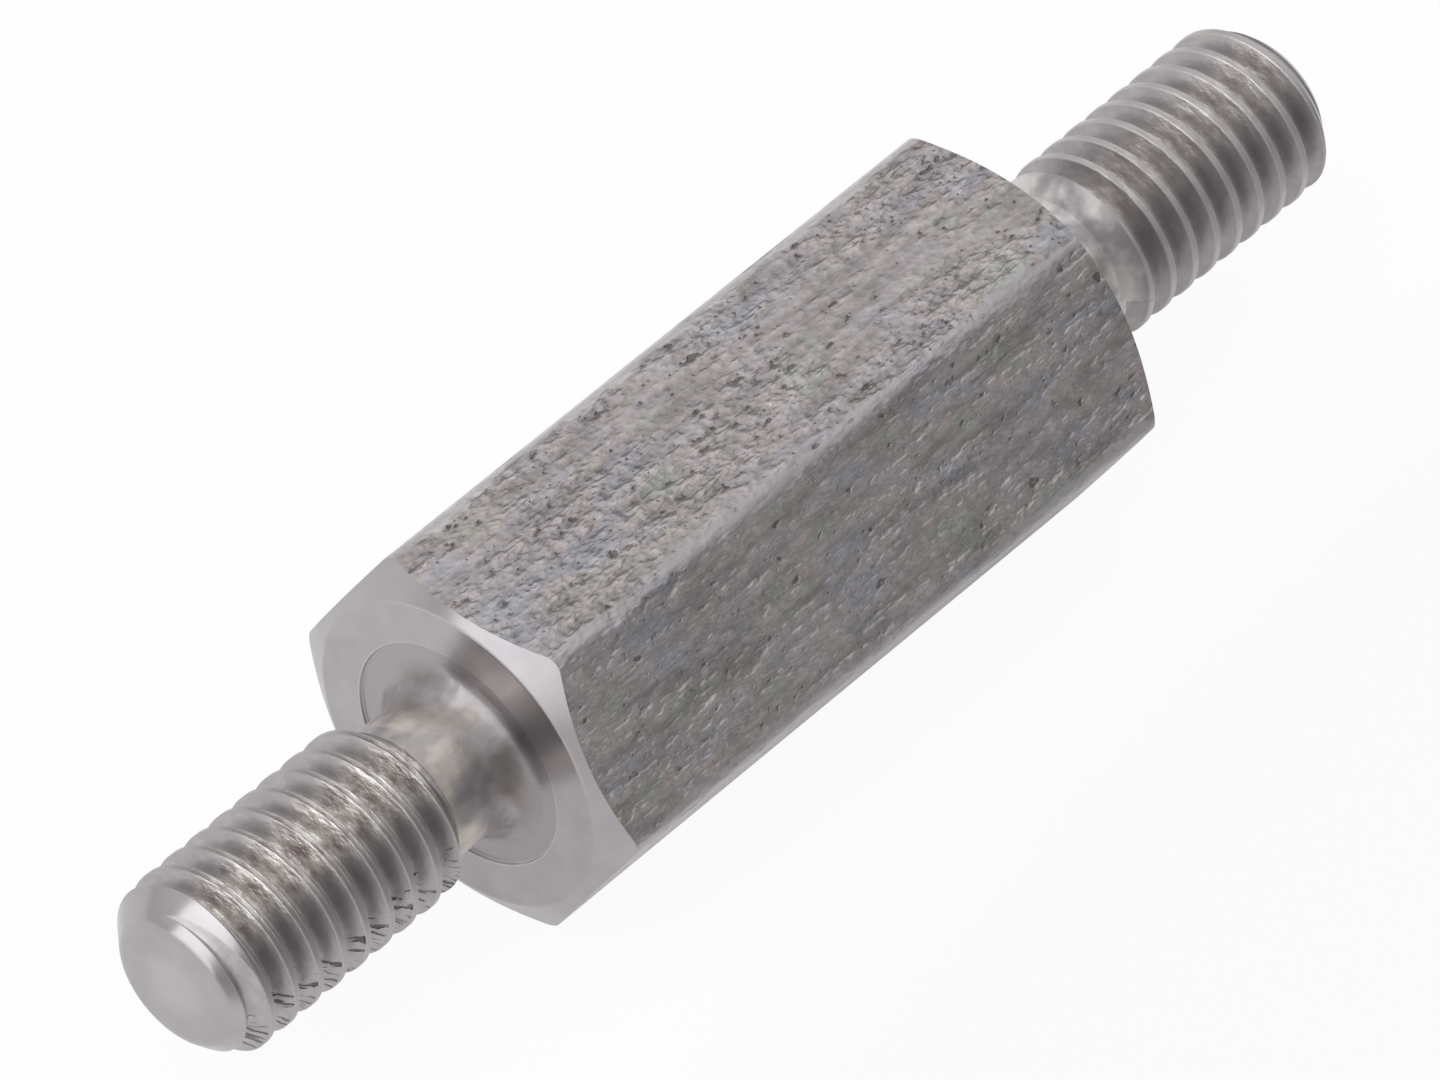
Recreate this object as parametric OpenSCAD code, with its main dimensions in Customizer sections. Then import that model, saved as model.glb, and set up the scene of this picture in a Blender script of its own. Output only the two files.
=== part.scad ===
// Male-male hex standoff, turned from one piece of drawn hexagonal steel bar.
// It lies on one flat of the hexagon. X runs along its axis and Z is up. The
// origin is under the middle of its length, on the surface it lies on.

/* [Hexagonal body] */

// Width across the flats of the bar
across_flats = 5.5; // [4.5:0.1:6]
// Length of the body between its two end faces
body_length = 12; // [5:0.5:40]
// How far drawing has rounded back each long edge of the bar
edge_break = 0.045; // [0.01:0.005:0.1]
// How far the rim of each end face stands inside the flats
face_inset = 0.17; // [0.05:0.005:0.4]
// Slope of the chamfer at each end, from the plane of the end face
face_chamfer_angle = 30; // [15:1:45]

/* [Studs] */

// Diameter over the crests of the thread, which is M3 with a pitch of 0.5
stud_diameter = 2.9; // [2.7:0.05:3]
// Length of each stud from the end face to its tip
stud_length = 6; // [4:0.5:12]
// Length of the chamfer at the tip, which leads into the thread
tip_chamfer = 0.42; // [0.2:0.02:0.6]
// Slope of the chamfer at the tip, from the axis
tip_chamfer_angle = 46; // [30:1:60]

/* [Neck] */

// Length of the neck from the end face to where the full stud begins
neck_length = 1.55; // [1.1:0.05:2]
// How far the neck is cut in below the crests, to just above their root
neck_undercut = 0.3; // [0.2:0.025:0.45]
// Slope of the shoulder between the neck and the stud, from the axis
shoulder_angle = 45; // [35:5:60]
// Radius of the fillet that runs the neck out into the relief
neck_fillet = 0.45; // [0.2:0.05:0.5]

/* [Relief in the end faces] */

// Width of the flat floor of the relief, outside the fillet
relief_width = 0.275; // [0.1:0.025:0.4]
// Depth of the relief below the end face
relief_depth = 0.05; // [0.03:0.01:0.15]

/* [Hidden] */
$fn = 96;
steel = [0.6, 0.59, 0.58];

half_body = body_length / 2;
half_length = half_body + stud_length;
bar_spare = 2;

edge_radius = across_flats / 2 / cos(30) - edge_break;
face_radius = across_flats / 2 - face_inset;
face_chamfer_depth = (edge_radius - face_radius) * tan(face_chamfer_angle);

stud_radius = stud_diameter / 2;
tip_radius = stud_radius - tip_chamfer * tan(tip_chamfer_angle);
neck_radius = stud_radius - neck_undercut;
shoulder_length = neck_undercut / tan(shoulder_angle);
relief_radius = neck_radius + neck_fillet + relief_width;
relief_floor = half_body - relief_depth;

// The drawn bar before turning: a hexagon along Z, one flat facing X.
module hexagonal_bar() {
    rotate([0, 0, 30])
        cylinder(
            d = across_flats / cos(30),
            h = 2 * (half_length + bar_spare),
            center = true,
            $fn = 6
        );
}

// A fillet in section: a square corner less a quarter circle.
module fillet_section(radius) {
    difference() {
        square(radius);
        translate([radius, radius])
            circle(radius);
    }
}

// What the lathe leaves of one half, in section from the middle of the body
// to the tip of a stud. X is the radius, and Y runs along the axis.
module turned_section() {
    polygon([
        [0, 0],
        [edge_radius, 0],
        [edge_radius, half_body - face_chamfer_depth],
        [face_radius, half_body],
        [relief_radius, half_body],
        [relief_radius, relief_floor],
        [neck_radius, relief_floor],
        [neck_radius, half_body + neck_length - shoulder_length],
        [stud_radius, half_body + neck_length],
        [stud_radius, half_length - tip_chamfer],
        [tip_radius, half_length],
        [0, half_length]
    ]);
    translate([neck_radius, relief_floor])
        fillet_section(neck_fillet);
}

// All that the lathe leaves, with both ends alike.
module turned_envelope() {
    rotate_extrude() {
        turned_section();
        mirror([0, 1])
            turned_section();
    }
}

// The bar within the envelope, laid down on one flat. The chamfers are cones,
// so they meet the flats in curved scallops and take off only the corners.
module hex_standoff() {
    color(steel)
        translate([0, 0, across_flats / 2])
            rotate([0, 90, 0])
                intersection() {
                    hexagonal_bar();
                    turned_envelope();
                }
}

hex_standoff();
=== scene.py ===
"""A male-male hex standoff of bare steel, drawn, turned and threaded, lying on one flat."""

import math

import bpy
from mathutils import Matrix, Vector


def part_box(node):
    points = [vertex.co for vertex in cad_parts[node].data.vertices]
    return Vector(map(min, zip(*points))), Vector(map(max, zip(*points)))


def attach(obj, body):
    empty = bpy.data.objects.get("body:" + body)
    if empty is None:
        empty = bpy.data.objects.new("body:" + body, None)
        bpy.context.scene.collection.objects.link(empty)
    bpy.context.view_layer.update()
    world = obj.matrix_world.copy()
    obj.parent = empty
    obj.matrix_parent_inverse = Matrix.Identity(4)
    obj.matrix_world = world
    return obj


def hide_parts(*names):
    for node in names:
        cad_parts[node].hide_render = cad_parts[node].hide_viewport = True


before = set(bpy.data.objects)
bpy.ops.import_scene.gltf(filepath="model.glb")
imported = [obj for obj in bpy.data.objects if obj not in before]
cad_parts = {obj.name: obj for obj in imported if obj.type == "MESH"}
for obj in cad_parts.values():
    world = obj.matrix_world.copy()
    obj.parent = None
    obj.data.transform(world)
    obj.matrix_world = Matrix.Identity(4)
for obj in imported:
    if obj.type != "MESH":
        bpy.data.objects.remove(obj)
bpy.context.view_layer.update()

# The standoff is modelled in millimetres round the X axis, then lifted and brought down to metres.
MM = 0.001
LOW, HIGH = (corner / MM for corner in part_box("hex_standoff"))
ACROSS_FLATS = HIGH.z - LOW.z
AXIS_HEIGHT = ACROSS_FLATS / 2
HALF_LENGTH = HIGH.x
STUD_LENGTH = 6.0
HALF_BODY = HALF_LENGTH - STUD_LENGTH
EDGE_RADIUS = HIGH.y

FACE_RADIUS = 2.58
FACE_CHAMFER = math.radians(30)
RELIEF_RADIUS = 1.875
RELIEF_DEPTH = 0.05
NECK_RADIUS = 1.15
NECK_FILLET = 0.45
# The fillet runs out further along the neck than up the end face
FILLET_RUN = 0.6
NECK_LENGTH = 1.55
STUD_RADIUS = 1.45
TIP_RADIUS = 1.015
TIP_CHAMFER = 0.42

PITCH = 0.5
THREAD_ROOT = 1.165
# Half the flat that is left on a crest, and the slope of a flank from a cut square to the axis
HALF_CREST = 0.05
FLANK = math.tan(math.radians(30))
# Where a groove's middle crosses the +Y side of the axis, on the near stud and on the far one
NEAR_START = -12.49
FAR_START = 7.12
NEAR_TURNS = 12
FAR_TURNS = 11
# Facets round the axis: every corner of the bar falls on one
ROUND_STEPS = 144


# Modelling

def only(piece):
    """Leaves just this piece selected."""
    bpy.ops.object.select_all(action="DESELECT")
    piece.select_set(True)
    bpy.context.view_layer.objects.active = piece


def edit(piece, kind, wanted=None):
    """Opens a piece in edit mode, with only the edges or faces that pass the test selected."""
    only(piece)
    bpy.context.tool_settings.mesh_select_mode = [kind == k for k in ("VERT", "EDGE", "FACE")]
    mesh = piece.data
    for element in (*mesh.vertices, *mesh.edges, *mesh.polygons):
        element.select = False
    for element in {"VERT": mesh.vertices, "EDGE": mesh.edges, "FACE": mesh.polygons}[kind]:
        element.select = wanted is None or wanted(element)
    bpy.ops.object.mode_set(mode="EDIT")


def outline(name, points):
    """Draws a chain of edges through points given as (place along the axis, radius)."""
    bpy.ops.object.select_all(action="DESELECT")
    bpy.ops.mesh.primitive_plane_add(size=1)
    piece = bpy.context.object
    piece.name = name
    edit(piece, "VERT")
    bpy.ops.mesh.merge(type="CENTER")
    bpy.ops.transform.translate(value=(*points[0], 0))
    for (place, radius), (next_place, next_radius) in zip(points, points[1:]):
        step = (next_place - place, next_radius - radius, 0)
        bpy.ops.mesh.extrude_vertices_move(TRANSFORM_OT_translate={"value": step})
    return piece


def close_solid():
    """Merges what meets and turns every face outwards, in edit mode."""
    bpy.ops.mesh.select_all(action="SELECT")
    bpy.ops.mesh.remove_doubles(threshold=0.0001)
    bpy.ops.mesh.normals_make_consistent(inside=False)
    bpy.ops.object.mode_set(mode="OBJECT")


def apply(piece, kind, **settings):
    """Puts a modifier on a piece and applies it."""
    modifier = piece.modifiers.new(kind.lower(), kind)
    for name, value in settings.items():
        setattr(modifier, name, value)
    only(piece)
    bpy.ops.object.modifier_apply(modifier=modifier.name)


def cut(piece, operation, tool):
    """Cuts a piece with a tool, which leaves its finish on what it cuts."""
    apply(piece, "BOOLEAN", operation=operation, object=tool, solver="EXACT",
          material_mode="TRANSFER")
    bpy.data.objects.remove(tool)


def hexagonal_bar():
    """The drawn bar: a hexagon whose long edges drawing has rounded."""
    corner = ACROSS_FLATS / 2 / math.cos(math.radians(30))
    # a round of radius r takes r / cos(30) - r off the corner
    edge_round = (corner - EDGE_RADIUS) / (1 / math.cos(math.radians(30)) - 1)
    bpy.ops.object.select_all(action="DESELECT")
    bpy.ops.mesh.primitive_cylinder_add(
        vertices=6, radius=corner, depth=2 * HALF_LENGTH + 2, rotation=(0, math.pi / 2, 0))
    bar = bpy.context.object
    bpy.ops.object.transform_apply(location=True, rotation=True, scale=True)
    ends = bar.data.vertices
    edit(bar, "EDGE", lambda edge: ends[edge.vertices[0]].co.x * ends[edge.vertices[1]].co.x < 0)
    bpy.ops.mesh.bevel(offset=edge_round * math.tan(math.radians(30)), segments=4,
                       profile=0.5, affect="EDGES")
    bpy.ops.object.mode_set(mode="OBJECT")
    edit(bar, "FACE", lambda face: abs(face.normal.x) < 0.5 and face.area > 30)
    bpy.ops.mesh.inset(thickness=0.03, use_individual=True)
    bpy.ops.object.mode_set(mode="OBJECT")
    return bar


def turned_half():
    """What the lathe leaves of one half, from the middle of the body to a tip."""
    over_corners = EDGE_RADIUS + 0.1
    chamfer_start = HALF_BODY - (over_corners - FACE_RADIUS) * math.tan(FACE_CHAMFER)
    floor = HALF_BODY - RELIEF_DEPTH
    fillet_radius = NECK_RADIUS + NECK_FILLET
    fillet_steps = 14
    fillet = [
        (floor + FILLET_RUN * (1 - math.cos(turn)), fillet_radius - NECK_FILLET * math.sin(turn))
        for turn in (math.pi / 2 * i / fillet_steps for i in range(fillet_steps + 1))
    ]
    neck_end = HALF_BODY + NECK_LENGTH
    shoulder = neck_end - (STUD_RADIUS - NECK_RADIUS)
    straight = shoulder - floor - FILLET_RUN
    neck = [(floor + FILLET_RUN + straight * i / 6, NECK_RADIUS) for i in range(1, 6)]
    return [
        (0, over_corners),
        (chamfer_start, over_corners),
        (HALF_BODY - 0.0225, FACE_RADIUS + 0.039),
        (HALF_BODY - 0.0069, FACE_RADIUS + 0.012),
        (HALF_BODY, FACE_RADIUS - 0.012),
        (HALF_BODY, FACE_RADIUS - 0.04),
        (HALF_BODY, RELIEF_RADIUS + 0.03),
        (HALF_BODY, RELIEF_RADIUS + 0.008),
        (HALF_BODY - 0.004, RELIEF_RADIUS + 0.002),
        (floor + 0.010, RELIEF_RADIUS - 0.014),
        (floor, RELIEF_RADIUS - 0.03),
        (floor, RELIEF_RADIUS - 0.06),
        *fillet,
        *neck,
        (shoulder, NECK_RADIUS),
        (neck_end, STUD_RADIUS),
        (HALF_LENGTH - TIP_CHAMFER, STUD_RADIUS),
        (HALF_LENGTH - 0.0695, TIP_RADIUS + 0.0719),
        (HALF_LENGTH - 0.0391, TIP_RADIUS + 0.0342),
        (HALF_LENGTH - 0.0174, TIP_RADIUS - 0.007),
        (HALF_LENGTH - 0.0043, TIP_RADIUS - 0.0518),
        (HALF_LENGTH, TIP_RADIUS - 0.1),
        (HALF_LENGTH, TIP_RADIUS - 0.15),
        (HALF_LENGTH, 0),
    ]


def turned_blank():
    """All that the lathe leaves, if the bar were round: one section, turned round the axis."""
    half = turned_half()
    section = [(-place, radius) for place, radius in reversed(half)] + half[1:]
    blank = outline("blank", section)
    bpy.ops.mesh.select_all(action="SELECT")
    bpy.ops.mesh.spin(steps=ROUND_STEPS, angle=math.tau, center=(0, 0, 0), axis=(1, 0, 0))
    close_solid()
    return blank


def thread_groove(start, turns, side):
    """The groove that the die cuts: its section, swept along a right-handed helix.

    The sweep begins on the +Y side of the axis, or on the -Y side where side is -1.
    """
    half_top = PITCH / 2 - HALF_CREST
    half_root = half_top - (STUD_RADIUS - THREAD_ROOT) * FLANK
    # the flank rises from a small round at the root to a smaller one at the crest
    section = [(0, THREAD_ROOT), (half_root - 0.012, THREAD_ROOT)]
    section += [(half_root + run, THREAD_ROOT + run / FLANK)
                for run in (0.012, 0.045, 0.08, 0.115, 0.148)]
    section[2] = (half_root + 0.004, THREAD_ROOT + 0.012)
    section += [(half_top - 0.006, STUD_RADIUS - 0.007), (half_top + 0.002, STUD_RADIUS),
                (half_top + 0.003, STUD_RADIUS + 0.15)]
    section = [(-place, radius) for place, radius in reversed(section[1:])] + section
    groove = outline("groove", [(start + place, side * radius) for place, radius in section])
    bpy.ops.mesh.select_all(action="SELECT")
    bpy.ops.mesh.edge_face_add()
    bpy.ops.mesh.delete(type="ONLY_FACE")
    bpy.ops.object.mode_set(mode="OBJECT")
    apply(groove, "SCREW", axis="X", angle=math.tau, screw_offset=PITCH,
          iterations=turns, steps=ROUND_STEPS, render_steps=ROUND_STEPS,
          use_merge_vertices=False)
    edit(groove, "VERT")
    bpy.ops.mesh.fill_holes(sides=0)
    close_solid()
    return groove


def hex_standoff(drawn, turned, threaded):
    """Bar, lathe and die in turn: each leaves its own surface on the steel."""
    standoff = hexagonal_bar()
    standoff.name = "threaded_standoff"
    standoff.data.materials.append(drawn)
    blank = turned_blank()
    blank.data.materials.append(turned)
    cut(standoff, "INTERSECT", blank)
    for start, turns, side in ((NEAR_START, NEAR_TURNS, 1),
                               (FAR_START + PITCH / 2, FAR_TURNS, -1)):
        groove = thread_groove(start, turns, side)
        groove.data.materials.append(threaded)
        cut(standoff, "DIFFERENCE", groove)
    edit(standoff, "VERT")
    close_solid()
    thread_slot = standoff.data.materials.find(threaded.name)
    for face in standoff.data.polygons:
        radius = math.hypot(face.center.y, face.center.z)
        past_neck = abs(face.center.x) > HALF_BODY + NECK_LENGTH - 0.02
        if past_neck and radius > STUD_RADIUS - 0.02 and abs(face.normal.x) < 0.5:
            face.material_index = thread_slot
    only(standoff)
    bpy.ops.transform.translate(value=(0, 0, AXIS_HEIGHT))
    bpy.ops.transform.resize(value=(MM, MM, MM), center_override=(0, 0, 0))
    bpy.ops.object.transform_apply(location=True, rotation=True, scale=True)
    bpy.ops.object.shade_smooth_by_angle(angle=math.radians(28))
    return standoff


# Materials

def colour(code):
    """An sRGB hex colour, turned to linear."""
    parts = [int(code[i:i + 2], 16) / 255 for i in (1, 3, 5)]
    return (*(p / 12.92 if p <= 0.04045 else ((p + 0.055) / 1.055) ** 2.4 for p in parts), 1)


def add(tree, kind, inputs=None, stops=None, **settings):
    """Adds a node with its settings. An input is a value, or a socket to link to."""
    node = tree.nodes.new(kind)
    for name, value in settings.items():
        setattr(node, name, value)
    for key, value in (inputs or {}).items():
        if isinstance(value, bpy.types.NodeSocket):
            tree.links.new(value, node.inputs[key])
        else:
            node.inputs[key].default_value = value
    for place, value in stops or ():
        ramp = node.color_ramp.elements
        element = ramp.new(place)
        element.color = value if isinstance(value, tuple) else (value, value, value, 1)
    if stops:
        ramp.remove(ramp[0])
        ramp.remove(ramp[-1])
    return node


def bare_metal(name):
    """Starts a metal: its tree, its shader, and the place on the steel in mm from the axis."""
    material = bpy.data.materials.new(name)
    material.use_nodes = True
    tree = material.node_tree
    tree.nodes.clear()
    shader = add(tree, "ShaderNodeBsdfPrincipled", {"Metallic": 1.0})
    add(tree, "ShaderNodeOutputMaterial", {"Surface": shader.outputs[0]})
    coordinates = add(tree, "ShaderNodeTexCoord")
    place = add(tree, "ShaderNodeMapping", {"Vector": coordinates.outputs["Object"],
                                            "Location": (0, 0, -AXIS_HEIGHT),
                                            "Scale": (1 / MM, 1 / MM, 1 / MM)})
    return material, tree, shader, place.outputs[0]


def round_axis(tree, place):
    """Gives the place along the axis, the turn from +Y over the top, and the radius, in mm."""
    parts = add(tree, "ShaderNodeSeparateXYZ", {0: place})
    signed_turn = add(tree, "ShaderNodeMath", {0: parts.outputs["Z"], 1: parts.outputs["Y"]},
                      operation="ARCTAN2")
    turn = add(tree, "ShaderNodeMath", {0: signed_turn.outputs[0], 1: math.tau, 2: 0.0},
               operation="WRAP")
    across = add(tree, "ShaderNodeVectorMath", {0: place, 1: (0, 1, 1)}, operation="MULTIPLY")
    radius = add(tree, "ShaderNodeVectorMath", {0: across.outputs[0]}, operation="LENGTH")
    return parts.outputs["X"], turn.outputs[0], radius.outputs["Value"]


def drawn_steel():
    """Cold-drawn hexagonal steel, bare.

    The die tears its skin into small lumps and pits, a little longer than wide, and rubs the
    long edges smooth. So the flats look dull and stony, with faint tints of oil and oxide, dirt
    and painted shade in the hollows, and a painted highlight on the edge over the top.
    """
    material, tree, shader, place = bare_metal("drawn_steel")
    turn = round_axis(tree, place)[1]
    # tints in patches of about 0.5 mm, drawn out along the bar
    patch_place = add(tree, "ShaderNodeMapping", {"Vector": place, "Scale": (0.9, 2.0, 2.0)})
    patches = add(tree, "ShaderNodeTexNoise", {"Vector": patch_place.outputs[0], "Scale": 1.0,
                                               "Detail": 3.0, "Roughness": 0.6})
    tints = add(tree, "ShaderNodeValToRGB", {0: patches.outputs[0]}, stops=(
        (0.32, colour("#BBBAC0")), (0.42, colour("#BFBABE")), (0.50, colour("#C2B9BA")),
        (0.57, colour("#BFB8B3")), (0.66, colour("#B9BAB6"))))
    # lumps of 0.1 to 0.2 mm, and ridges of 0.15 mm that run 1 mm along the bar
    lump_place = add(tree, "ShaderNodeMapping", {"Vector": place, "Scale": (4.3, 7.5, 7.5)})
    lumps = add(tree, "ShaderNodeTexNoise", {"Vector": lump_place.outputs[0], "Scale": 1.0,
                                             "Detail": 1.6, "Roughness": 0.5})
    ridge_place = add(tree, "ShaderNodeMapping", {"Vector": place, "Scale": (0.8, 5, 5),
                                                  "Location": (3, 5, 7)})
    ridges = add(tree, "ShaderNodeTexNoise", {"Vector": ridge_place.outputs[0], "Scale": 1.0,
                                              "Detail": 2.0})
    # round pits of up to 0.05 mm, in some of the cells
    pit_place = add(tree, "ShaderNodeMapping", {"Vector": place, "Scale": (9, 12, 12)})
    cells = add(tree, "ShaderNodeTexVoronoi", {"Vector": pit_place.outputs[0], "Scale": 1.0})
    chance = add(tree, "ShaderNodeSeparateColor", {0: cells.outputs["Color"]})
    crowded = add(tree, "ShaderNodeMath", {0: patches.outputs[0], 1: -0.8,
                                           2: chance.outputs[0]}, operation="MULTIPLY_ADD")
    pit_size = add(tree, "ShaderNodeMapRange", {"Value": crowded.outputs[0], "From Min": 0.25,
                                                "From Max": 0.65, "To Min": 0.0, "To Max": 0.36})
    inside = add(tree, "ShaderNodeMath", {0: pit_size.outputs[0],
                                          1: cells.outputs["Distance"]}, operation="SUBTRACT")
    round_pits = add(tree, "ShaderNodeMapRange", {"Value": inside.outputs[0], "From Min": 0.0,
                                                  "From Max": 0.2, "To Min": 0.0,
                                                  "To Max": 0.8})
    # ragged holes where the lumps leave the deepest hollows
    holes = add(tree, "ShaderNodeMapRange", {"Value": lumps.outputs[0], "From Min": 0.26,
                                             "From Max": 0.32, "To Min": 1.0, "To Max": 0.0})
    pits = add(tree, "ShaderNodeMath", {0: round_pits.outputs[0], 1: holes.outputs[0]},
               operation="MAXIMUM")
    # the smooth band on each long edge: the turn from the nearest edge, about 0.17 mm across
    from_edge = add(tree, "ShaderNodeMath", {0: turn, 1: math.pi / 6}, operation="PINGPONG")
    wavy = add(tree, "ShaderNodeMath", {0: patches.outputs[0], 1: -0.16,
                                        2: from_edge.outputs[0]}, operation="MULTIPLY_ADD")
    ragged = add(tree, "ShaderNodeMath", {0: ridges.outputs[0], 1: -0.06,
                                          2: wavy.outputs[0]}, operation="MULTIPLY_ADD")
    torn = add(tree, "ShaderNodeMapRange", {"Value": ragged.outputs[0], "From Min": -0.085,
                                            "From Max": -0.06, "To Min": 0.3, "To Max": 1.0})
    # calmer places of a millimetre or so
    calm_place = add(tree, "ShaderNodeMapping", {"Vector": place, "Scale": (0.5, 1.3, 1.3),
                                                 "Location": (1, 2, 8)})
    calm = add(tree, "ShaderNodeTexNoise", {"Vector": calm_place.outputs[0], "Scale": 1.0,
                                            "Detail": 2.0})
    force = add(tree, "ShaderNodeMapRange", {"Value": calm.outputs[0], "From Min": 0.35,
                                             "From Max": 0.6, "To Min": 0.45, "To Max": 1.0})
    # the flats beyond the front edge are less torn than the top
    past_edge = add(tree, "ShaderNodeMath", {0: turn, 1: math.radians(120)},
                    operation="GREATER_THAN")
    held_back = add(tree, "ShaderNodeMath", {0: past_edge.outputs[0], 1: -0.15, 2: 1.0},
                    operation="MULTIPLY_ADD")
    rough_depth = add(tree, "ShaderNodeMath", {0: force.outputs[0], 1: torn.outputs[0]},
                      operation="MULTIPLY")
    depth = add(tree, "ShaderNodeMath", {0: rough_depth.outputs[0], 1: held_back.outputs[0]},
                operation="MULTIPLY")
    pitted = add(tree, "ShaderNodeMath", {0: pits.outputs[0], 1: torn.outputs[0]},
                 operation="MULTIPLY")
    # colour: the hollows and furrows are darker, partly dirt held there and partly painted shade;
    # the rubbed edges are brighter, and the edge over the top is painted brighter still, a painted
    # highlight
    hollow = add(tree, "ShaderNodeMapRange", {"Value": lumps.outputs[0], "From Min": 0.3,
                                              "From Max": 0.7, "To Min": 0.81, "To Max": 1.03})
    furrow = add(tree, "ShaderNodeMapRange", {"Value": ridges.outputs[0], "From Min": 0.30,
                                              "From Max": 0.6, "To Min": 0.72, "To Max": 1.04})
    # painted shade, partly dirt: darker where the lumps and ridges are low
    dirt_and_painted_shade = add(tree, "ShaderNodeMath", {0: hollow.outputs[0], 1: furrow.outputs[0]},
               operation="MULTIPLY")
    toned = add(tree, "ShaderNodeVectorMath", {0: tints.outputs[0], 1: dirt_and_painted_shade.outputs[0]},
                operation="MULTIPLY")
    # painted highlight: the rubbed band on the edge over the top is coloured much lighter than the
    # one in front
    front = add(tree, "ShaderNodeMath", {0: turn, 1: math.pi / 2}, operation="GREATER_THAN")
    edge_tone_and_highlight = add(tree, "ShaderNodeMix", {"Factor": front.outputs[0], 6: colour("#E0DCDF"),
                                            7: colour("#BBB7BB")}, data_type="RGBA")
    rubbed_and_painted_edge = add(tree, "ShaderNodeMix", {"Factor": torn.outputs[0], 6: edge_tone_and_highlight.outputs[2],
                                         7: toned.outputs[0]}, data_type="RGBA")
    pit_share = add(tree, "ShaderNodeMath", {0: pitted.outputs[0], 1: 0.7},
                    operation="MULTIPLY")
    with_pits = add(tree, "ShaderNodeMix", {"Factor": pit_share.outputs[0],
                                            6: rubbed_and_painted_edge.outputs[2], 7: colour("#635B5A")},
                    data_type="RGBA")
    tree.links.new(with_pits.outputs[2], shader.inputs["Base Color"])
    rough = add(tree, "ShaderNodeMapRange", {"Value": lumps.outputs[0], "From Min": 0.3,
                                             "From Max": 0.7, "To Min": 0.38, "To Max": 0.30})
    tree.links.new(rough.outputs[0], shader.inputs["Roughness"])
    # relief in mm, to each side of the mean: lumps about 0.03, ridges 0.02, pits 0.02 deep
    low = add(tree, "ShaderNodeMath", {0: ridges.outputs[0], 1: 0.09, 2: -0.11},
              operation="MULTIPLY_ADD")
    skin = add(tree, "ShaderNodeMath", {0: lumps.outputs[0], 1: 0.13, 2: low.outputs[0]},
               operation="MULTIPLY_ADD")
    forced = add(tree, "ShaderNodeMath", {0: skin.outputs[0], 1: depth.outputs[0]},
                 operation="MULTIPLY")
    height = add(tree, "ShaderNodeMath", {0: pitted.outputs[0], 1: -0.02,
                                          2: forced.outputs[0]}, operation="MULTIPLY_ADD")
    bump = add(tree, "ShaderNodeBump", {"Height": height.outputs[0], "Strength": 1.0,
                                        "Distance": MM})
    tree.links.new(bump.outputs[0], shader.inputs["Normal"])
    return material


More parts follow.
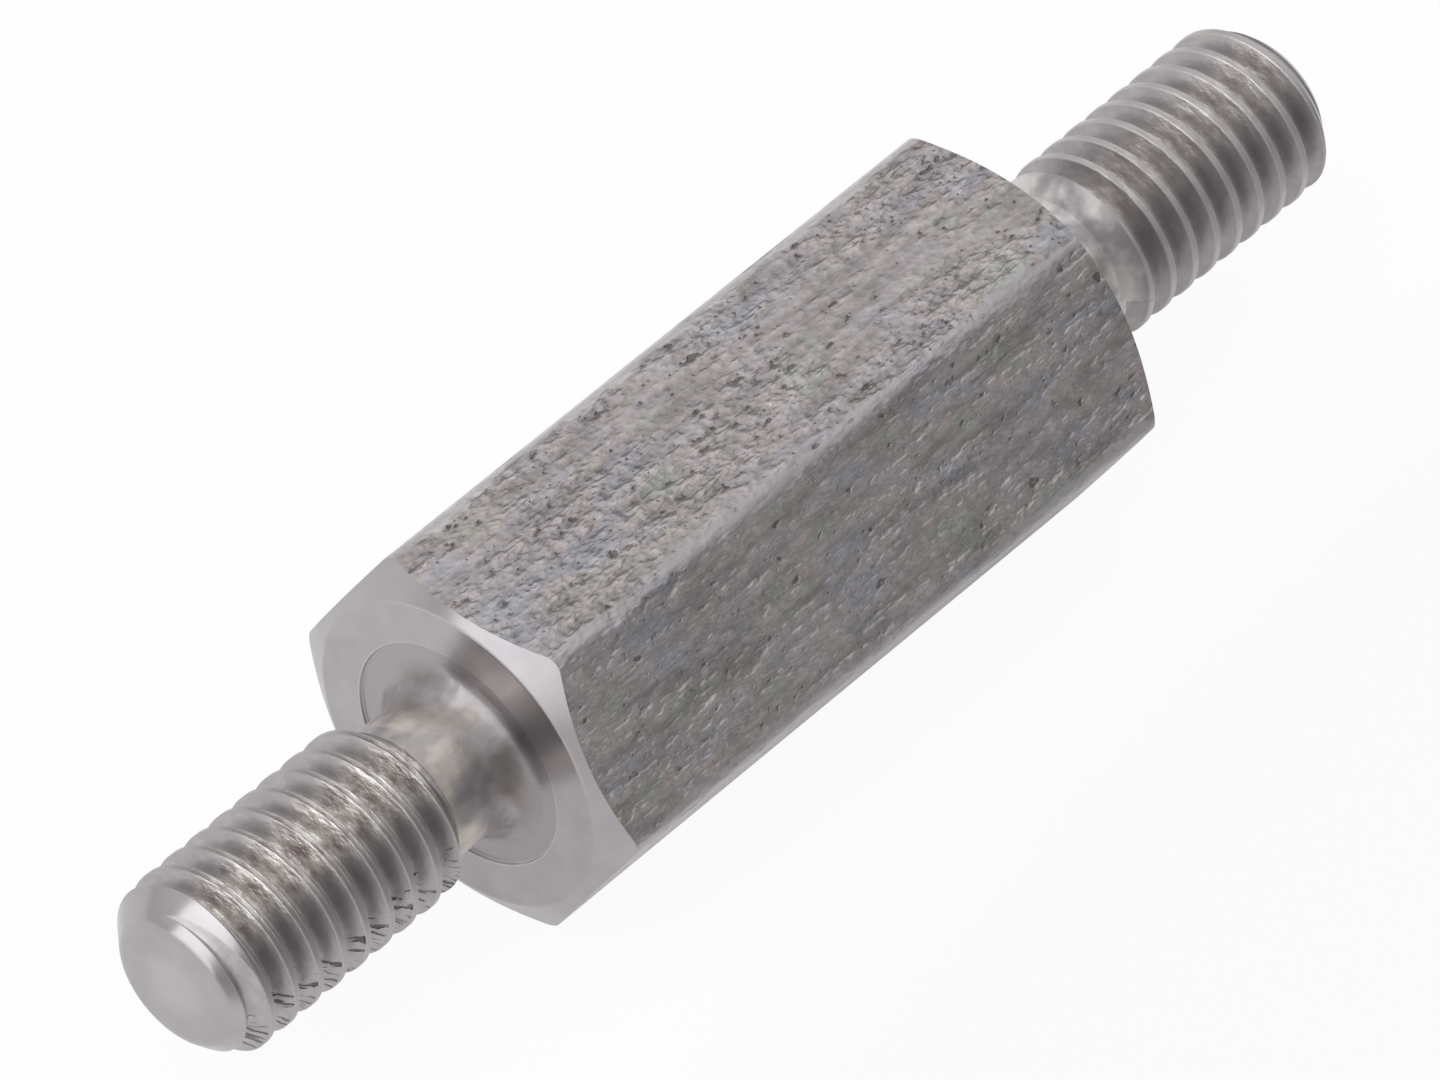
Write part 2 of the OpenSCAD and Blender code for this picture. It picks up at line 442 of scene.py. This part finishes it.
def turned_steel():
    """Free-cutting steel, turned with a fine feed and left bare.

    The feed marks run round the axis, so highlights spread across them and a lamp shows as a
    wedge on the flat tip, with a painted highlight in its middle. The neck is torn and uneven,
    with a warm tint of old oil under painted light and shade; the relief floor is painted darker
    and both rims are painted bright.
    """
    material, tree, shader, place = bare_metal("turned_steel")
    along, turn, radius = round_axis(tree, place)
    # feed marks 0.03 mm apart, drawn as rings of noise in place along the axis and radius
    ring_place = add(tree, "ShaderNodeCombineXYZ", {"X": along, "Y": radius})
    rings = add(tree, "ShaderNodeTexNoise", {"Vector": ring_place.outputs[0], "Scale": 30.0,
                                             "Detail": 2.0}, noise_dimensions="2D")
    # the neck and its fillet, between the body and the thread
    inside = add(tree, "ShaderNodeMapRange", {"Value": radius, "From Min": 1.3,
                                              "From Max": 1.6, "To Min": 1.0, "To Max": 0.0})
    beyond = add(tree, "ShaderNodeMath", {0: along}, operation="ABSOLUTE")
    before = add(tree, "ShaderNodeMapRange", {"Value": beyond.outputs[0], "From Min": 7.6,
                                              "From Max": 7.8, "To Min": 1.0, "To Max": 0.0})
    neck = add(tree, "ShaderNodeMath", {0: inside.outputs[0], 1: before.outputs[0]},
               operation="MULTIPLY")
    # uneven in humps of about 0.3 mm
    humps = add(tree, "ShaderNodeTexNoise", {"Vector": place, "Scale": 2.4, "Detail": 1.5})
    oil = add(tree, "ShaderNodeTexNoise", {"Vector": place, "Scale": 1.6, "Detail": 3.0})
    tone = add(tree, "ShaderNodeValToRGB", {0: oil.outputs[0]}, stops=(
        (0.35, colour("#ABA7AA")), (0.65, colour("#B3AFB1"))))
    oil_and_painted_light_patches = add(tree, "ShaderNodeMapRange", {"Value": oil.outputs[0], "From Min": 0.42,
                                             "From Max": 0.58, "To Min": 0.2, "To Max": 1.0})
    # where the oil patches lie on the neck, its painted light and shade take over
    warm = add(tree, "ShaderNodeMath", {0: oil_and_painted_light_patches.outputs[0], 1: neck.outputs[0]},
               operation="MULTIPLY")
    # painted light and shade over a warm oil tint on the necks: the near neck is painted dark at
    # the fillet, which dims its highlight, and light toward the thread; the far neck is painted
    # bright
    far = add(tree, "ShaderNodeMath", {0: along, 1: 0.0}, operation="GREATER_THAN")
    toward_thread = add(tree, "ShaderNodeMapRange", {"Value": beyond.outputs[0],
                                                     "From Min": 6.25, "From Max": 6.75,
                                                     "To Min": 0.0, "To Max": 1.0})
    near_neck_painted_light_and_shade = add(tree, "ShaderNodeMix", {"Factor": toward_thread.outputs[0],
                                            6: colour("#918A87"), 7: colour("#DED4CC")},
                    data_type="RGBA")
    neck_painted_light_and_shade = add(tree, "ShaderNodeMix", {"Factor": far.outputs[0], 6: near_neck_painted_light_and_shade.outputs[2],
                                            7: colour("#F6F2F0")}, data_type="RGBA")
    # painted shade: the floor of the relief is coloured darker than the end face; both rims are
    # painted as fine bright lines, a painted highlight
    sunk = add(tree, "ShaderNodeMath", {0: radius, 1: RELIEF_RADIUS - 0.01},
               operation="LESS_THAN")
    at_face = add(tree, "ShaderNodeMapRange", {"Value": beyond.outputs[0],
                                               "From Min": HALF_BODY + 0.02,
                                               "From Max": HALF_BODY + 0.2, "To Min": 1.0,
                                               "To Max": 0.0})
    # painted shade in the recess of the relief, close to the end face
    dull = add(tree, "ShaderNodeMath", {0: sunk.outputs[0], 1: at_face.outputs[0]},
               operation="MULTIPLY")
    face_with_painted_shade = add(tree, "ShaderNodeMix", {"Factor": dull.outputs[0], 6: tone.outputs[0],
                                        7: colour("#A4A0A3")}, data_type="RGBA")
    # painted highlight: the middle of each tip is coloured brighter, where the lamp shows as a
    # wedge
    centre = add(tree, "ShaderNodeMapRange", {"Value": radius, "From Min": 0.25,
                                              "From Max": 0.7, "To Min": 1.0, "To Max": 0.0},
                 interpolation_type="SMOOTHSTEP")
    at_tip = add(tree, "ShaderNodeMath", {0: beyond.outputs[0], 1: HALF_LENGTH - 0.1},
                 operation="GREATER_THAN")
    tip_painted_highlight = add(tree, "ShaderNodeMath", {0: centre.outputs[0], 1: at_tip.outputs[0]},
                 operation="MULTIPLY")
    bare = add(tree, "ShaderNodeMix", {"Factor": tip_painted_highlight.outputs[0], 6: face_with_painted_shade.outputs[2],
                                       7: colour("#B8B4B7")}, data_type="RGBA")
    oiled_and_painted_neck = add(tree, "ShaderNodeMix", {"Factor": warm.outputs[0], 6: bare.outputs[2],
                                         7: neck_painted_light_and_shade.outputs[2]}, data_type="RGBA")
    # painted highlight: fine bright rings at the rim of the relief and at the edge of the end face
    from_rim = add(tree, "ShaderNodeMath", {0: radius, 1: RELIEF_RADIUS + 0.005, 2: 0.022},
                   operation="COMPARE")
    from_chamfer = add(tree, "ShaderNodeMath", {0: radius, 1: FACE_RADIUS, 2: 0.01},
                       operation="COMPARE")
    # painted highlight: the outer rim is painted bright only over the top, where its edge catches
    # the light
    from_top = add(tree, "ShaderNodeMath", {0: turn, 1: math.radians(88)}, operation="SUBTRACT")
    off_top = add(tree, "ShaderNodeMath", {0: from_top.outputs[0]}, operation="ABSOLUTE")
    over_top = add(tree, "ShaderNodeMapRange", {"Value": off_top.outputs[0],
                                                "From Min": math.radians(20),
                                                "From Max": math.radians(45), "To Min": 1.0,
                                                "To Max": 0.0})
    outer_rim_highlight = add(tree, "ShaderNodeMath", {0: from_chamfer.outputs[0],
                                             1: over_top.outputs[0]}, operation="MULTIPLY")
    rim_highlights = add(tree, "ShaderNodeMath", {0: from_rim.outputs[0], 1: outer_rim_highlight.outputs[0]},
               operation="MAXIMUM")
    with_rim_highlights = add(tree, "ShaderNodeMix", {"Factor": rim_highlights.outputs[0], 6: oiled_and_painted_neck.outputs[2],
                                      7: colour("#BAB6B9")}, data_type="RGBA")
    tree.links.new(with_rim_highlights.outputs[2], shader.inputs["Base Color"])
    rough = add(tree, "ShaderNodeMapRange", {"Value": neck.outputs[0], "From Min": 0.0,
                                             "From Max": 1.0, "To Min": 0.23, "To Max": 0.38})
    rougher = add(tree, "ShaderNodeMath", {0: far.outputs[0], 1: neck.outputs[0]},
                  operation="MULTIPLY")
    roughest = add(tree, "ShaderNodeMath", {0: rougher.outputs[0], 1: 0.22, 2: rough.outputs[0]},
                   operation="MULTIPLY_ADD")
    tree.links.new(roughest.outputs[0], shader.inputs["Roughness"])
    shader.inputs["Anisotropic"].default_value = 0.65
    shader.inputs["Anisotropic Rotation"].default_value = 0.25
    tangent = add(tree, "ShaderNodeTangent", direction_type="RADIAL", axis="X")
    tree.links.new(tangent.outputs[0], shader.inputs["Tangent"])
    # relief in mm: feed marks 0.0006 deep, humps on the neck about 0.03
    marks = add(tree, "ShaderNodeMath", {0: rings.outputs[0], 1: 0.0006}, operation="MULTIPLY")
    level = add(tree, "ShaderNodeMath", {0: humps.outputs[0], 1: 0.5}, operation="SUBTRACT")
    uneven = add(tree, "ShaderNodeMath", {0: level.outputs[0], 1: neck.outputs[0]},
                 operation="MULTIPLY")
    height = add(tree, "ShaderNodeMath", {0: uneven.outputs[0], 1: 0.04, 2: marks.outputs[0]},
                 operation="MULTIPLY_ADD")
    bump = add(tree, "ShaderNodeBump", {"Height": height.outputs[0], "Strength": 1.0,
                                        "Distance": MM})
    tree.links.new(bump.outputs[0], shader.inputs["Normal"])
    return material


def cut_thread_steel():
    """The same steel where a die has cut it.

    The flanks are fairly smooth. The crests are bright, those of the far stud painted brighter as
    a painted highlight, and on the near stud the die has folded them over, so that each shows two
    bright edges with a seam between. It has torn flakes along the top, partly bright metal and
    partly a painted highlight, and dark slanting tears lower down.
    """
    material, tree, shader, place = bare_metal("cut_thread_steel")
    along, turn, radius = round_axis(tree, place)
    far = add(tree, "ShaderNodeMath", {0: along, 1: 0.0}, operation="GREATER_THAN")
    near = add(tree, "ShaderNodeMath", {0: 1.0, 1: far.outputs[0]}, operation="SUBTRACT")
    # how far a place is from the middle of the nearest crest, along the axis in mm
    start = add(tree, "ShaderNodeMath", {0: far.outputs[0], 1: FAR_START - NEAR_START,
                                         2: NEAR_START}, operation="MULTIPLY_ADD")
    helix = add(tree, "ShaderNodeMath", {0: turn, 1: PITCH / math.tau,
                                         2: start.outputs[0]}, operation="MULTIPLY_ADD")
    ahead = add(tree, "ShaderNodeMath", {0: along, 1: helix.outputs[0]}, operation="SUBTRACT")
    from_groove = add(tree, "ShaderNodeMath", {0: ahead.outputs[0], 1: PITCH / 2},
                      operation="PINGPONG")
    from_crest = add(tree, "ShaderNodeMath", {0: PITCH / 2, 1: from_groove.outputs[0]},
                     operation="SUBTRACT")
    top = add(tree, "ShaderNodeMapRange", {"Value": radius, "From Min": STUD_RADIUS - 0.03,
                                           "From Max": STUD_RADIUS - 0.01, "To Min": 0.0,
                                           "To Max": 1.0})
    # smears of about 0.15 mm by 0.4 mm round the axis, along a band near the top
    arc = add(tree, "ShaderNodeMath", {0: turn, 1: STUD_RADIUS}, operation="MULTIPLY")
    short_arc = add(tree, "ShaderNodeMath", {0: arc.outputs[0], 1: 0.4}, operation="MULTIPLY")
    smeared = add(tree, "ShaderNodeCombineXYZ", {"X": along, "Y": short_arc.outputs[0],
                                                 "Z": radius})
    flakes = add(tree, "ShaderNodeTexNoise", {"Vector": smeared.outputs[0], "Scale": 7.0,
                                              "Detail": 3.0, "Roughness": 0.6})
    fine = add(tree, "ShaderNodeTexNoise", {"Vector": place, "Scale": 9.0, "Detail": 1.5})
    off_band = add(tree, "ShaderNodeMath", {0: turn, 1: math.radians(106)},
                   operation="SUBTRACT")
    off = add(tree, "ShaderNodeMath", {0: off_band.outputs[0]}, operation="ABSOLUTE")
    band = add(tree, "ShaderNodeMapRange", {"Value": off.outputs[0],
                                            "From Min": math.radians(8),
                                            "From Max": math.radians(36), "To Min": 1.0,
                                            "To Max": 0.0}, interpolation_type="SMOOTHSTEP")
    beyond = add(tree, "ShaderNodeMath", {0: along}, operation="ABSOLUTE")
    tip = add(tree, "ShaderNodeMapRange", {"Value": beyond.outputs[0], "From Min": 11.4,
                                           "From Max": 11.6, "To Min": 1.0, "To Max": 0.0})
    less_far = add(tree, "ShaderNodeMath", {0: far.outputs[0], 1: -0.5, 2: tip.outputs[0]},
                   operation="MULTIPLY_ADD")
    torn = add(tree, "ShaderNodeMath", {0: band.outputs[0], 1: less_far.outputs[0]},
               operation="MULTIPLY", use_clamp=True)
    # the darkest of the hollows between the smears
    hollows = add(tree, "ShaderNodeMapRange", {"Value": flakes.outputs[0], "From Min": 0.36,
                                               "From Max": 0.43, "To Min": 0.3, "To Max": 0.0})
    near_torn = add(tree, "ShaderNodeMath", {0: torn.outputs[0], 1: near.outputs[0]},
                    operation="MULTIPLY")
    cracks = add(tree, "ShaderNodeMath", {0: hollows.outputs[0], 1: near_torn.outputs[0]},
                 operation="MULTIPLY")
    # dark crooked tears 0.3 mm long and 0.05 mm wide, on the flanks of the near stud
    unrolled = add(tree, "ShaderNodeCombineXYZ", {"X": along, "Y": arc.outputs[0]})
    down = add(tree, "ShaderNodeVectorMath", {0: unrolled.outputs[0], 1: (2.9, -1.3, 0)},
               operation="DOT_PRODUCT")
    aside = add(tree, "ShaderNodeVectorMath", {0: unrolled.outputs[0], 1: (4, 8.5, 0)},
                operation="DOT_PRODUCT")
    crooked = add(tree, "ShaderNodeMath", {0: flakes.outputs[0], 1: 1.5,
                                           2: aside.outputs["Value"]},
                  operation="MULTIPLY_ADD")
    tear_place = add(tree, "ShaderNodeCombineXYZ", {"X": down.outputs["Value"],
                                                    "Y": crooked.outputs[0]})
    tear_noise = add(tree, "ShaderNodeTexNoise", {"Vector": tear_place.outputs[0],
                                                  "Scale": 1.0, "Detail": 1.0},
                     noise_dimensions="2D")
    off_tears = add(tree, "ShaderNodeMath", {0: turn, 1: math.radians(202)},
                    operation="SUBTRACT")
    tears_off = add(tree, "ShaderNodeMath", {0: off_tears.outputs[0]}, operation="ABSOLUTE")
    tear_band = add(tree, "ShaderNodeMapRange", {"Value": tears_off.outputs[0],
                                                 "From Min": math.radians(22),
                                                 "From Max": math.radians(42),
                                                 "To Min": 0.08, "To Max": -0.4})
    tear_level = add(tree, "ShaderNodeMath", {0: tear_noise.outputs[0],
                                              1: tear_band.outputs[0]}, operation="ADD")
    tear_cut = add(tree, "ShaderNodeMapRange", {"Value": tear_level.outputs[0],
                                                "From Min": 0.63, "From Max": 0.74,
                                                "To Min": 0.0, "To Max": 0.85})
    flank = add(tree, "ShaderNodeMath", {0: near.outputs[0], 1: top.outputs[0]},
                operation="SUBTRACT", use_clamp=True)
    tears = add(tree, "ShaderNodeMath", {0: tear_cut.outputs[0], 1: flank.outputs[0]},
                operation="MULTIPLY")
    # the two edges of a folded crest, broken up by the fine noise
    wander = add(tree, "ShaderNodeMath", {0: fine.outputs[0], 1: -0.06,
                                          2: from_crest.outputs[0]}, operation="MULTIPLY_ADD")
    edges = add(tree, "ShaderNodeMapRange", {"Value": wander.outputs[0], "From Min": -0.012,
                                             "From Max": 0.012, "To Min": 0.0, "To Max": 1.0})
    open_seam = add(tree, "ShaderNodeMath", {0: 1.0, 1: edges.outputs[0]},
                    operation="SUBTRACT")
    folded = add(tree, "ShaderNodeMapRange", {"Value": off.outputs[0],
                                              "From Min": math.radians(22),
                                              "From Max": math.radians(45), "To Min": 1.0,
                                              "To Max": 0.15})
    near_fold = add(tree, "ShaderNodeMath", {0: folded.outputs[0], 1: near.outputs[0]},
                    operation="MULTIPLY")
    seam = add(tree, "ShaderNodeMath", {0: open_seam.outputs[0], 1: near_fold.outputs[0]},
               operation="MULTIPLY")
    topped = add(tree, "ShaderNodeMath", {0: top.outputs[0], 1: seam.outputs[0]},
                 operation="MULTIPLY")
    # colour
    tone = add(tree, "ShaderNodeValToRGB", {0: flakes.outputs[0]}, stops=(
        (0.35, colour("#ABA6A7")), (0.5, colour("#B1ACAD")), (0.65, colour("#B8B4B3"))))
    # painted highlight: the crests are coloured lighter on the far stud than on the near one
    crest_painted_highlight = add(tree, "ShaderNodeMix", {"Factor": far.outputs[0], 6: colour("#B2AEAE"),
                                             7: colour("#C3BFBF")}, data_type="RGBA")
    crested = add(tree, "ShaderNodeMix", {"Factor": top.outputs[0], 6: tone.outputs[0],
                                          7: crest_painted_highlight.outputs[2]}, data_type="RGBA")
    seamed = add(tree, "ShaderNodeMix", {"Factor": topped.outputs[0], 6: crested.outputs[2],
                                         7: colour("#8D8785")}, data_type="RGBA")
    # the torn flakes are partly bright torn metal and partly a painted highlight along the top
    flake_tone_and_highlight = add(tree, "ShaderNodeValToRGB", {0: flakes.outputs[0]}, stops=(
        (0.38, colour("#B2A7A6")), (0.46, colour("#BDB6B3")), (0.54, colour("#CAC5C1")),
        (0.62, colour("#E2DFDB"))))
    flaked_and_painted = add(tree, "ShaderNodeMix", {"Factor": torn.outputs[0], 6: seamed.outputs[2],
                                         7: flake_tone_and_highlight.outputs[0]}, data_type="RGBA")
    broken = add(tree, "ShaderNodeMath", {0: cracks.outputs[0], 1: tears.outputs[0]},
                 operation="MAXIMUM")
    with_tears = add(tree, "ShaderNodeMix", {"Factor": broken.outputs[0],
                                             6: flaked_and_painted.outputs[2], 7: colour("#524B4A")},
                     data_type="RGBA")
    tree.links.new(with_tears.outputs[2], shader.inputs["Base Color"])
    shader.inputs["Roughness"].default_value = 0.38
    # relief in mm: seams and hollows 0.01 deep, tears 0.02, and smears 0.01 high
    seam_low = add(tree, "ShaderNodeMath", {0: topped.outputs[0], 1: -0.010},
                   operation="MULTIPLY")
    tear_low = add(tree, "ShaderNodeMath", {0: tears.outputs[0], 1: -0.02,
                                            2: seam_low.outputs[0]}, operation="MULTIPLY_ADD")
    flake_level = add(tree, "ShaderNodeMath", {0: flakes.outputs[0], 1: 0.5},
                      operation="SUBTRACT")
    flake_high = add(tree, "ShaderNodeMath", {0: flake_level.outputs[0], 1: torn.outputs[0]},
                     operation="MULTIPLY")
    flaky = add(tree, "ShaderNodeMath", {0: flake_high.outputs[0], 1: 0.03,
                                         2: tear_low.outputs[0]}, operation="MULTIPLY_ADD")
    height = add(tree, "ShaderNodeMath", {0: fine.outputs[0], 1: 0.004,
                                          2: flaky.outputs[0]}, operation="MULTIPLY_ADD")
    bump = add(tree, "ShaderNodeBump", {"Height": height.outputs[0], "Strength": 1.0,
                                        "Distance": MM})
    tree.links.new(bump.outputs[0], shader.inputs["Normal"])
    return material


# Stage

def pale_floor():
    """A white sheet on a grey bench, all white to the camera. It keeps the soft shadow. The grey
    bench and the uneven glow that the steel sees are a painted pool of light.
    """
    material = bpy.data.materials.new("white_sheet")
    material.use_nodes = True
    tree = material.node_tree
    tree.nodes.clear()
    # painted shade: the sheet ends a few millimetres in front of the standoff, and the bench
    # beyond is grey, standing in for a dim room round a pool of light
    coordinates = add(tree, "ShaderNodeTexCoord")
    behind = add(tree, "ShaderNodeVectorMath", {0: coordinates.outputs["Object"],
                                                1: (-0.1 / MM, 1.0 / MM, 0)},
                 operation="DOT_PRODUCT")
    sheet = add(tree, "ShaderNodeMapRange", {"Value": behind.outputs["Value"],
                                             "From Min": -6.5, "From Max": -3.0,
                                             "To Min": 0.0, "To Max": 1.0},
                interpolation_type="SMOOTHSTEP")
    tone = add(tree, "ShaderNodeMix", {"Factor": sheet.outputs[0], 6: colour("#C0C0C0"),
                                       7: colour("#FAFAFA")}, data_type="RGBA")
    matt = add(tree, "ShaderNodeBsdfDiffuse", {"Color": tone.outputs[2]})
    glow = add(tree, "ShaderNodeEmission", {"Strength": 1.0})
    ray = add(tree, "ShaderNodeLightPath")
    in_steel = add(tree, "ShaderNodeMath", {0: ray.outputs["Is Glossy Ray"],
                                            1: sheet.outputs[0]}, operation="MULTIPLY")
    # painted light and shade: the steel sees more of the white glow before the near end, and less
    # by the far one
    parts = add(tree, "ShaderNodeSeparateXYZ", {0: coordinates.outputs["Object"]})
    before = add(tree, "ShaderNodeMapRange", {"Value": parts.outputs["X"],
                                              "From Min": -4 * MM, "From Max": 4 * MM,
                                              "To Min": 0.65, "To Max": 0.4})
    painted_glow_share = add(tree, "ShaderNodeMath", {0: in_steel.outputs[0], 1: before.outputs[0]},
               operation="MULTIPLY")
    share = add(tree, "ShaderNodeMath", {0: ray.outputs["Is Camera Ray"], 1: 0.93,
                                         2: painted_glow_share.outputs[0]}, operation="MULTIPLY_ADD")
    mix = add(tree, "ShaderNodeMixShader", {0: share.outputs[0], 1: matt.outputs[0],
                                            2: glow.outputs[0]})
    add(tree, "ShaderNodeOutputMaterial", {"Surface": mix.outputs[0]})
    bpy.ops.object.select_all(action="DESELECT")
    bpy.ops.mesh.primitive_circle_add(vertices=64, radius=2, fill_type="NGON")
    floor = bpy.context.object
    floor.name = "floor"
    floor.data.materials.append(material)


def studio_light():
    """A plain room, brighter overhead, and one tall softbox past the near stud."""
    world = bpy.context.scene.world or bpy.data.worlds.new("studio")
    bpy.context.scene.world = world
    world.use_nodes = True
    tree = world.node_tree
    tree.nodes.clear()
    way = add(tree, "ShaderNodeTexCoord")
    across = add(tree, "ShaderNodeVectorMath", {0: way.outputs["Generated"],
                                                1: (-0.15, 0.24, 0.7)},
                 operation="DOT_PRODUCT")
    level = add(tree, "ShaderNodeMath", {0: across.outputs["Value"], 1: 0.52}, operation="ADD")
    ray = add(tree, "ShaderNodeLightPath")
    white = add(tree, "ShaderNodeMath", {0: level.outputs[0], 1: ray.outputs["Is Camera Ray"]},
                operation="MAXIMUM")
    room = add(tree, "ShaderNodeBackground", {"Strength": white.outputs[0]})
    add(tree, "ShaderNodeOutputWorld", {"Surface": room.outputs[0]})

    softbox = bpy.data.lights.new("softbox", "AREA")
    softbox.shape = "RECTANGLE"
    softbox.size, softbox.size_y = 0.5, 1.36
    softbox.energy = 1.18 * math.pi * softbox.size * softbox.size_y
    lamp = bpy.data.objects.new("softbox", softbox)
    bpy.context.scene.collection.objects.link(lamp)
    lamp.location = (-0.55, 0.065, 0.68)
    lamp.rotation_euler = (math.pi / 2, 0, -math.pi / 2)


def photo_camera():
    """A long lens above the near stud, about 45 degrees up, as the photograph was taken."""
    lens = bpy.data.cameras.new("camera")
    lens.sensor_width = 36
    lens.lens = 429.71
    lens.clip_start = 0.01
    camera = bpy.data.objects.new("camera", lens)
    bpy.context.scene.collection.objects.link(camera)
    camera.location = (-0.131580, -0.111864, 0.180237)
    camera.rotation_euler = (math.radians(44.176), math.radians(-0.6958), math.radians(-48.8443))
    bpy.context.scene.camera = camera


standoff = hex_standoff(drawn_steel(), turned_steel(), cut_thread_steel())
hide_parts("hex_standoff")
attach(standoff, "root")
pale_floor()
studio_light()
photo_camera()
bpy.context.scene.view_settings.view_transform = "Standard"
